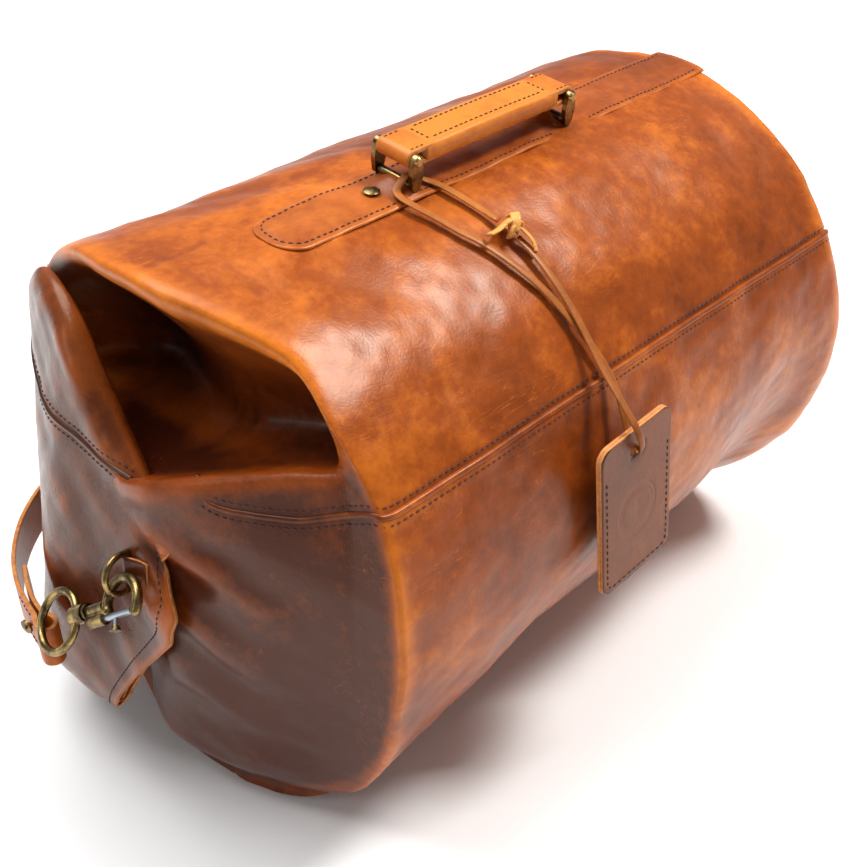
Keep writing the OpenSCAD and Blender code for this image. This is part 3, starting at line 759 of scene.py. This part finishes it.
# over the rim and in over the end
near_guide += [(-191, -134, 229), (-196, -126, 227), (-200, -113, 221), (-205, -96, 214), (-211, -80, 212),
               (-214, -62, 210), (-216, -50, 212), (-217, -42, 216)]
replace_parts(seam("near_seam", SKIN, near_guide, TAN), "near_seam_ridge")
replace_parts(seam("far_seam", SKIN, along_side(-WELT, -176), TAN), "far_seam_ridge")
flap_guide = [(-203, 122, 226), (-212, 112, 219), (-222, 92, 212), (-228, 66, 208), (-230, 40, 206),
              (-230, 14, 204), (-229, -4, 203)]
seam("flap_seam", SLEEVE, flap_guide, FLAP)

# hem stitches, one row a little in from the raw edge
hem_path, hem_up = SLEEVE.line(sleeve_out[-5, 3:70], 1.5)
stitches("hem_stitches", hem_path, hem_up)


# -------------------------------------------- base
BASE_R = 145
PIPING_R = 141.5


def base_disc():
    rings = np.concatenate([np.linspace(0, BASE_R - 7, 30), np.linspace(BASE_R - 5, BASE_R, 8)])
    q = np.radians(np.arange(180) * 2)
    r = rings[:, None] + 0 * q
    bulge = 2.0 * (1 - (r / BASE_R) ** 2)
    p = np.stack([BASE_X - 4 + bulge, r * np.sin(q)[None], AXIS_Z + r * np.cos(q)[None]], -1)
    back = p.copy()
    back[..., 0] -= LEATHER
    return shell(p, back, True)


def add_base():
    base_pts, base_faces, _ = base_disc()
    base = add_mesh("base", base_pts, base_faces, [TAN], attribute=np.zeros(len(base_pts)))
    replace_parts(base, "base_panel")
    q = np.radians(np.arange(0, 361, 2))
    rim = np.column_stack([0 * q + BASE_X - 2.2, PIPING_R * np.sin(q), AXIS_Z + PIPING_R * np.cos(q)])
    out = np.tile([1.0, 0, 0], (len(q) - 1, 1))
    piping_pts, piping_faces = sweep(rim[:-1], out, oval(4, 4, 10), closed=True)
    add_mesh("base_piping", piping_pts, piping_faces, [TAN], attribute=np.full(len(piping_pts), 0.5))
    inner_rim = rim.copy()
    inner_rim[:, 1:] = [0, AXIS_Z] + (rim[:, 1:] - [0, AXIS_Z]) * 0.945
    row, up = Surface(base_pts, base_faces).line(inner_rim, 2.0)
    stitches("base_stitches", row, up)


add_base()


# -------------------------------------------- handle strip
def on_strip(x, e, n):
    """A place on the bag's top: along the axis, across the strip on the curve, and out from the axis."""
    a = np.asarray(e) / BAG_R - STRIP_TILT
    x, a, n = np.broadcast_arrays(x, a, n)
    return np.stack([x, n * np.sin(a), AXIS_Z + n * np.cos(a)], -1)


def strip_half(x):
    """Half the strip's width, rounded at its free end."""
    r = STRIP_CORNER
    q = np.clip(x - STRIP_END, 0.05, r)
    return STRIP_W / 2 - r + np.sqrt(r * r - (r - q) ** 2)


def tunnel(x, e):
    """The strip's rise over the bracket's bars."""
    return 5.2 * (bump(x, -BRACKET_X, 7.5) + bump(x, BRACKET_X, 7.5)) * bump(e, 0, 9.5)


def strip_shell():
    free_end = STRIP_END + STRIP_CORNER * (1 - np.cos(np.linspace(0.05, math.pi / 2, 14)))
    strip_x = np.concatenate([free_end, np.linspace(STRIP_END + STRIP_CORNER + 2, 190, 210)])
    across = np.linspace(1, -1, 31)
    x = np.broadcast_to(strip_x[:, None], (len(strip_x), len(across)))
    e = strip_half(strip_x)[:, None] * across[None]
    rise = BAG_R + 0.5 + tunnel(x, e) + 0.5 * waves(on_strip(x, e, BAG_R), 60, 41)
    edge_drop = 0.5 * np.abs(across[None]) ** 14
    return shell(on_strip(x, e, rise + 1.2 - edge_drop), on_strip(x, e, rise - 0.2))


def strip_stitch_line():
    """Down one side, round the free end and back, a margin in from the strip's edge."""
    half = STRIP_W / 2 - STITCH_MARGIN
    r = STRIP_CORNER - STITCH_MARGIN
    arc = [(STRIP_END + STITCH_MARGIN + r - r * math.cos(a), half - r + r * math.sin(a))
           for a in np.linspace(0, math.pi / 2, 7)]
    outline = ([(x, -half) for x in range(186, -128, -6)] + [(x, -e) for x, e in arc[::-1]]
               + arc[1:] + [(x, half) for x in range(-126, 188, 6)])
    return [on_strip(x, e, BAG_R + 3.0) for x, e in outline]


strip_pts, strip_faces, _ = strip_shell()
strip = add_mesh("strip", strip_pts, strip_faces, [STRIP], attribute=0.4 * roundness(strip_pts, strip_faces))
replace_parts(strip, "handle_strip")
strip_path, strip_up = Surface(strip_pts, strip_faces).line(strip_stitch_line(), 1.5)
stitches("strip_stitches", strip_path, strip_up)


# -------------------------------------------- handle
def handle_place(x, across, high):
    """A place on the handle: along it, across it and above its pins, at rest."""
    c, s = math.cos(STRIP_TILT), math.sin(STRIP_TILT)
    x, across, high = np.broadcast_arrays(x, across, np.asarray(high) + PIN_N)
    return np.stack([x, across * c - high * s, AXIS_Z + across * s + high * c], -1)


GRIP_HALF = 51
GRIP_W = 24
GRIP_T = 11
GRIP_EDGE = 9           # the grip thins over this much at each end
WRAP_OUT, WRAP_IN = 4.7, 2.1


def soften(ob, width, segments=2):
    """Rounds off a piece's edges; width in millimetres."""
    mod = ob.modifiers.new("edges", "BEVEL")
    mod.width = width * MM
    mod.segments = segments
    return mod


def rounded_section(w, t, r):
    """A closed outline of w by t with rounded corners."""
    out = []
    for cx, cy, a0 in ((1, 1, 0), (-1, 1, 90), (-1, -1, 180), (1, -1, 270)):
        for a in np.linspace(a0, a0 + 90, 7):
            out.append((cx * (w / 2 - r) + r * math.cos(math.radians(a)),
                        cy * (t / 2 - r) + r * math.sin(math.radians(a))))
    return np.array(out)


def grip_rings():
    rings = []
    for x in np.linspace(-GRIP_HALF, GRIP_HALF, 70):
        end = smooth(abs(x), GRIP_HALF - GRIP_EDGE, GRIP_HALF)
        thick = GRIP_T - 0.2 - 1.6 * end + 0.4 * math.cos(x / 16)
        section = rounded_section(GRIP_W + 0.5 - 1.6 * end, thick, 3.6 - end)
        rings.append(handle_place(x, section[:, 0], section[:, 1]))
    return np.array(rings)


def add_grip():
    rings = grip_rings()
    count, around = rings.shape[:2]
    verts = rings.reshape(-1, 3)
    tube = grid_faces(count, around, True)
    faces = tube + caps(count, around)
    grip = add_mesh("grip", verts, faces, [GRIP, RAW], raw_after(faces, len(tube)), body="handle",
                    attribute=roundness(verts, faces))
    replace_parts(grip, "handle_cover")
    surface = Surface(verts, faces)
    for k, e in enumerate((-6.5, 7.5)):
        row, up = surface.line([handle_place(x, e, GRIP_T / 2) for x in range(-44, 45, 8)], 1.5)
        stitches(f"grip_stitches_{k + 1}", row, up, "handle")
    for k, x in enumerate((-45, 45)):
        row, up = surface.line([handle_place(x, e, GRIP_T / 2) for e in np.arange(-8, 8.1, 2)], 1.0)
        stitches(f"grip_end_stitches_{k + 1}", row, up, "handle", pitch=3.4, length=2.4)


def end_wrap(name, sign):
    """The grip's leather passes round the pin and back under itself."""
    pin_x = sign * BRACKET_X
    under_grip = sign * (GRIP_HALF - GRIP_EDGE)

    def turned_round(r, high):
        half_turn = np.radians(np.linspace(90, 270, 15))
        turns = [(pin_x - sign * math.cos(a) * r, r * math.sin(a)) for a in half_turn]
        line = [(under_grip, high), *turns, (under_grip, -high)]
        return np.array([[handle_place(x, e, z) for e in np.linspace(-11.0, 11.0, 13)] for x, z in line])

    outer, inner = turned_round(WRAP_OUT, WRAP_OUT), turned_round(WRAP_IN, WRAP_OUT - LEATHER)
    if sign > 0:
        outer, inner = outer[:, ::-1], inner[:, ::-1]
    verts, faces, edge = shell(outer, inner)
    wrap = add_mesh(name, verts, faces, [GRIP, RAW], raw_after(faces, edge), body="handle",
                    attribute=np.full(len(verts), 0.4))
    soften(wrap, 0.4)
    surface = Surface(verts, faces)
    for k, e in enumerate((-9, 9)):
        row, up = surface.line([handle_place(sign * x, e, WRAP_OUT) for x in (50, 54, 58, 61)], 1.0)
        stitches(f"{name}_stitches_{k + 1}", row, up, "handle", pitch=3.4, length=2.4, r=0.36)
    return wrap


add_grip()
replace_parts(end_wrap("left_wrap", -1), "left_end_wrap")
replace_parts(end_wrap("right_wrap", 1), "right_end_wrap")


# -------------------------------------------- closing strap
def strap_side(path, shift):
    t = unit(np.gradient(path, axis=0))
    return path + shift * np.column_stack([t[:, 1], -t[:, 0], 0 * t[:, 0]])


# In plan: from the far side round to the swivel eye, round it and back
strap_path = curve([(-96, 154.6, 0), (-130, 155.7, 0), (-165, 155.2, 0), (-198, 146.2, 0), (-226, 127, 0),
                    (-246, 104, 0), (-258, 82, 0), (-264, 62, 0), (-266.6, 50, 0), (-269.6, 44, 0),
                    (-270.2, 38.5, 0), (-266, 35.4, 0), (-261.4, 38, 0), (-260.8, 44, 0), (-262.2, 50, 0),
                    (-260.6, 60, 0), (-256, 74, 0), (-249, 88, 0)], 8)


def strap_face(shift):
    line = strap_side(strap_path, shift)[:, :2]
    heights = np.linspace(STRAP_Z - STRAP_W / 2, STRAP_Z + STRAP_W / 2, 15)
    return np.stack([np.column_stack([line, np.full(len(line), z)]) for z in heights], 1)


def add_strap():
    verts, faces, edge = shell(strap_face(-STRAP_T / 2), strap_face(STRAP_T / 2))
    strap = add_mesh("strap", verts, faces, [TAN, RAW], raw_after(faces, edge),
                     attribute=np.full(len(verts), 0.2))
    soften(strap, 0.5)
    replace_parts(strap, "closing_strap")
    surface = Surface(verts, faces)
    for k, z in enumerate((STRAP_Z - 9.8, STRAP_Z + 9.8)):
        row, up = surface.line([(-264.5, 74, z), (-266.5, 62, z), (-268.3, 52, z)], 1.0)
        stitches(f"strap_stitches_{k + 1}", row, up)


add_strap()


# -------------------------------------------- ring tab
def on_ring(points):
    return RING_AT + np.asarray(points, float) @ turned(*RING_TURN).T


def tab_sheet():
    """A folded leather tab: round the ring's bar, then flat on the flap at both ends; no stitches are drawn.
    """
    a = np.radians(np.linspace(-30, 170, 15))
    high, low = 3.0, 1.75
    front = [(3.5, 15.5), (2.4, 12), (2.2, 8), *[(high * math.cos(t), -high * math.sin(t)) for t in a]]
    rear = [(1.2, 15.5), (0.6, 12), (0.5, 8), *[(low * math.cos(t), -low * math.sin(t)) for t in a]]
    widths = np.linspace(-8.1, 8.1, 9)
    outer = np.array([[(x, y, z) for z in widths] for x, y in front])
    inner = np.array([[(x, y, z) for z in widths] for x, y in rear])
    return shell(on_ring(outer), on_ring(inner))


tab_pts, tab_faces, tab_edge = tab_sheet()
tab = add_mesh("tab", tab_pts, tab_faces, [FLAP, RAW], raw_after(tab_faces, tab_edge),
               attribute=np.full(len(tab_pts), -0.2))
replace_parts(tab, "ring_tab")


# -------------------------------------------- luggage tag
def on_tag(points):
    return TAG_AT + np.asarray(points, float) @ turned(*TAG_TURN).T


TAG_FACE_Y = 2.15       # each layer's outer face from the middle of the tag
TAG_CORNER = 7
SLOT = (12, 6.4)
SLOT_Z = TAG_H / 2 - 8.4 - SLOT[1] / 2


def tag_height(x, z):
    """Relief of the tag's face: a pressed ring with a four-pointed star in it."""
    aside, above = np.abs(x), np.abs(z + 4)
    r = np.hypot(aside, above)
    ring_mark = bump(r, 15, 0.8) + bump(r, 12.6, 0.5)
    star = bump(np.minimum(aside * 1.8 + above * 0.55, aside * 0.55 + above * 1.8), 0, 3.2) * (r < 11)
    return -0.32 * np.clip(ring_mark + star, 0, 1)


def even_loop(w, h, r, step):
    """A rounded outline as 120 points, evenly spaced."""
    corners = rounded_section(w, h, r)
    closed = np.vstack([corners, corners[:1]])
    line = even(np.column_stack([closed, np.zeros(len(closed))]), step)[:, :2]
    return line[np.linspace(0, len(line) - 1, 120, endpoint=False).astype(int)]


def tag_layer(name, y_face, y_back, mats, relief):
    """One layer of the tag as a grid bent to a rounded outline with a slot in it."""
    edge = even_loop(TAG_W, TAG_H, TAG_CORNER, 0.5)
    hole = even_loop(*SLOT, 2.6, 0.2) + [0, SLOT_Z]
    # both loops start at the same angle, so the rings between them do not twist
    t = np.concatenate([[0, 0.02, 0.05], np.linspace(0.1, 0.97, 60), [0.985, 1.0]])
    grid = hole[None] * (1 - t)[:, None, None] + edge[None] * t[:, None, None]
    x, z = grid[..., 0], grid[..., 1]
    rounding = 0.55 * (smooth(t, 0.965, 1.0) + 0.6 * (1 - smooth(t, 0.0, 0.05)))[:, None]
    h = relief(x, z) if relief else 0 * x
    sign = -1 if y_face < y_back else 1
    face = np.stack([x, y_face + sign * (h - rounding), z], -1)
    back = np.stack([x, y_back + 0 * x, z], -1)
    if sign > 0:
        face, back = face[:, ::-1], back[:, ::-1]
    verts, faces, first_edge = shell(on_tag(face), on_tag(back), True)
    return add_mesh(name, verts, faces, mats, raw_after(faces, first_edge // 2), body="tag",
                    attribute=roundness(verts, faces) * 0.7 + 0.1)


def tag_stitch_line():
    """Down one side of the tag, along its foot and up the other side."""
    w, h = TAG_W / 2 - STITCH_MARGIN, TAG_H / 2 - STITCH_MARGIN
    top, r = TAG_H / 2 - 17, 5
    quarter = np.linspace(0, math.pi / 2, 6)
    line = [(-w, top)] + [(-w, z) for z in np.arange(26, -h + 6, -4)]
    line += [(-w + r - r * math.cos(a), -h + r - r * math.sin(a)) for a in quarter]
    line += [(x, -h) for x in np.arange(-w + 8, w - 6, 4)]
    line += [(w - r + r * math.sin(a), -h + r - r * math.cos(a)) for a in quarter]
    line += [(w, z) for z in np.arange(-h + 8, 26, 4)] + [(w, top)]
    return even(on_tag([(x, -TAG_FACE_Y, z) for x, z in line]), 1.2)


tag_face = tag_layer("tag_face", -TAG_FACE_Y, -0.05, [TAG_FACE, RAW], tag_height)
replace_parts(tag_face, "tag_front")
tag_rear = tag_layer("tag_rear", TAG_FACE_Y, 0.05, [TAN, RAW], None)
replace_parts(tag_rear, "tag_back")
tag_path = tag_stitch_line()
tag_up = np.tile(on_tag([(0, -1, 0)])[0] - on_tag([(0, 0, 0)])[0], (len(tag_path), 1))
stitches("tag_stitches", tag_path, tag_up, "tag", pitch=4.2)

# -------------------------------------------- lace and its knot
# Up from the knot, round the left bracket's near foot, down behind the tag's top edge, through its slot
# and back to the knot
LACE_ROUTE = [(-38, -66, 290.6), (-41, -56, 294.8), (-44, -44, 299.2), (-46, -34, 302), (-50, -27, 304.2),
              (-55, -24.6, 307), (-60, -24.4, 309.2), (-65, -24.6, 307.4), (-69.5, -26, 304.8),
              (-71.5, -31, 303), (-70, -40, 300.4), (-67, -50, 297.2), (-62.5, -62, 292.2),
              (-57, -72, 287.4), (-51, -85, 279.6), (-45, -99, 269.2), (-40, -112, 256.8),
              (-35.5, -124, 243.6), (-33, -132.5, 233), (-32.5, -138.5, 225), (-33, -143.5, 217),
              (-34, -147.6, 210), (-35, -150.4, 204.6), (-36, -153.4, 200.8), (-37.5, -156.6, 199.4),
              (-39, -160.4, 199.4), (-40.5, -163.6, 200.6), (-42, -165.2, 204), (-43.5, -164.6, 209.6),
              (-44, -161, 215.6), (-43.5, -154.4, 222), (-42, -146, 228.6), (-40, -136, 236.4),
              (-38, -125.6, 246), (-36.5, -114, 257.4), (-36, -101, 269), (-36, -88, 278.6), (-37, -77, 285)]
LACE_W = 5
LACE_T = 1.3


def outward(path):
    """Away from the bag's axis."""
    up = path.copy()
    up[:, 0] = 0
    up[:, 2] -= AXIS_Z
    return unit(up)


route = curve(LACE_ROUTE, 4)
lace_pts, lace_faces = sweep(route, outward(route), oval(LACE_W - 0.4, LACE_T, 12, 0.8))
lace = add_mesh("lace_band", lace_pts, lace_faces, [LACE],
                attribute=np.zeros(len(lace_pts)))
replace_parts(lace, "lace")

KNOT_AT = np.array([-37.4, -73.0, 290.0])
KNOT_TURN = turned(27, 6, 8)
KNOT_UNDER = KNOT_AT - [0, 0.45 * 12, 0.87 * 12]


def knot_band(name, points, w=5.2, t=1.8):
    """One visible run of the knot, its flat side away from a point under the knot."""
    p = curve([KNOT_AT + KNOT_TURN @ np.array(q, float) for q in points], 6)
    verts, faces = sweep(p, unit(p - KNOT_UNDER + 1e-3), oval(w, t, 10, 0.6))
    return add_mesh(name, verts, faces, [KNOT], attribute=np.full(len(verts), 0.3))


def knot_turn(r, off, lean):
    return [(r * math.cos(a), off + lean * math.sin(a), r * 0.9 * math.sin(a))
            for a in np.linspace(0.3, 2 * math.pi + 0.2, 12)]


wraps = [knot_band("knot_wrap_1", knot_turn(4.0, -2.6, 1.2)),
         knot_band("knot_wrap_2", knot_turn(4.3, 2.3, -1.4)),
         knot_band("knot_wrap_3", [(-3.6, -4.5, 1.5), (-2.0, -1.5, 4.9), (0.4, 1.0, 5.6), (3.0, 3.0, 4.2),
                                   (4.4, 4.6, 0.6)])]
TAILS = [[(-2, 1, 1), (-6, 1.4, 1.0), (-11, 0.8, 0.2), (-17.5, 1.2, -0.8)],
         [(2, -3, 1.4), (3, -8, 1.0), (3.4, -13, -0.2), (2.4, -17.6, -2.6)]]
tails = [knot_band(f"knot_tail_{k + 1}", points, 4.6, 1.5) for k, points in enumerate(TAILS)]
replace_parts(wraps[0], "lace_knot")

# -------------------------------------------- hardware and hidden pieces
FINISH = {BRASS: ("rivet", "rivet_burr", "left_bracket", "right_bracket", "strap_stud", "swivel_eye",
                  "hook_body", "thumb_knob", "d_ring"),
          PIN_BRASS: ("left_pin", "right_pin"),
          STEEL: ("gate_bolt", "bolt_spring"),
          BOARD: ("base_board",),
          RAW: ("mouth_binding", "inner_reinforcement", "handle_core")}
for material, nodes in FINISH.items():
    for name in nodes:
        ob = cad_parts[name]
        ob.data.materials.clear()
        ob.data.materials.append(material)
        if material in (BRASS, PIN_BRASS, STEEL):
            mod = soften(ob, 0.4, 3)
            mod.limit_method = "ANGLE"
            mod.angle_limit = math.radians(35)


# -------------------------------------------- floor and light
def add_floor():
    me = bpy.data.meshes.new("floor")
    me.from_pydata([(-6, -6, 0), (6, -6, 0), (6, 6, 0), (-6, 6, 0)], [], [(0, 1, 2, 3)])
    m = Nodes("floor")
    m.shader.inputs["Base Color"].default_value = (0.93, 0.93, 0.93, 1)
    m.shader.inputs["Roughness"].default_value = 0.55
    m.shader.inputs["Specular IOR Level"].default_value = 0.3
    me.materials.append(m.mat)
    ob = bpy.data.objects.new("floor", me)
    bpy.context.collection.objects.link(ob)


def add_light(name, place, aim, size, power, colour=(1, 1, 1)):
    data = bpy.data.lights.new(name, "AREA")
    data.shape = "RECTANGLE"
    data.size, data.size_y = size
    data.energy = power
    data.color = colour
    ob = bpy.data.objects.new(name, data)
    bpy.context.collection.objects.link(ob)
    ob.location = place
    ob.rotation_euler = (Vector(aim) - Vector(place)).to_track_quat("-Z", "Y").to_euler()


add_floor()
add_light("key", (0.9, -0.62, 1.95), (0, 0, 0.1), (0.5, 0.5), 46, (1, 0.98, 0.95))
add_light("top", (-0.3, 0.9, 2.4), (0, 0, 0.1), (2.2, 1.6), 74)
add_light("left", (-2.4, 0.9, 1.3), (0, 0, 0.15), (0.8, 1.2), 8)

world = bpy.data.worlds.new("world")
world.use_nodes = True
world.node_tree.nodes["Background"].inputs["Color"].default_value = (1, 1, 1, 1)
world.node_tree.nodes["Background"].inputs["Strength"].default_value = 0.28
bpy.context.scene.world = world
bpy.context.scene.view_settings.view_transform = "Standard"
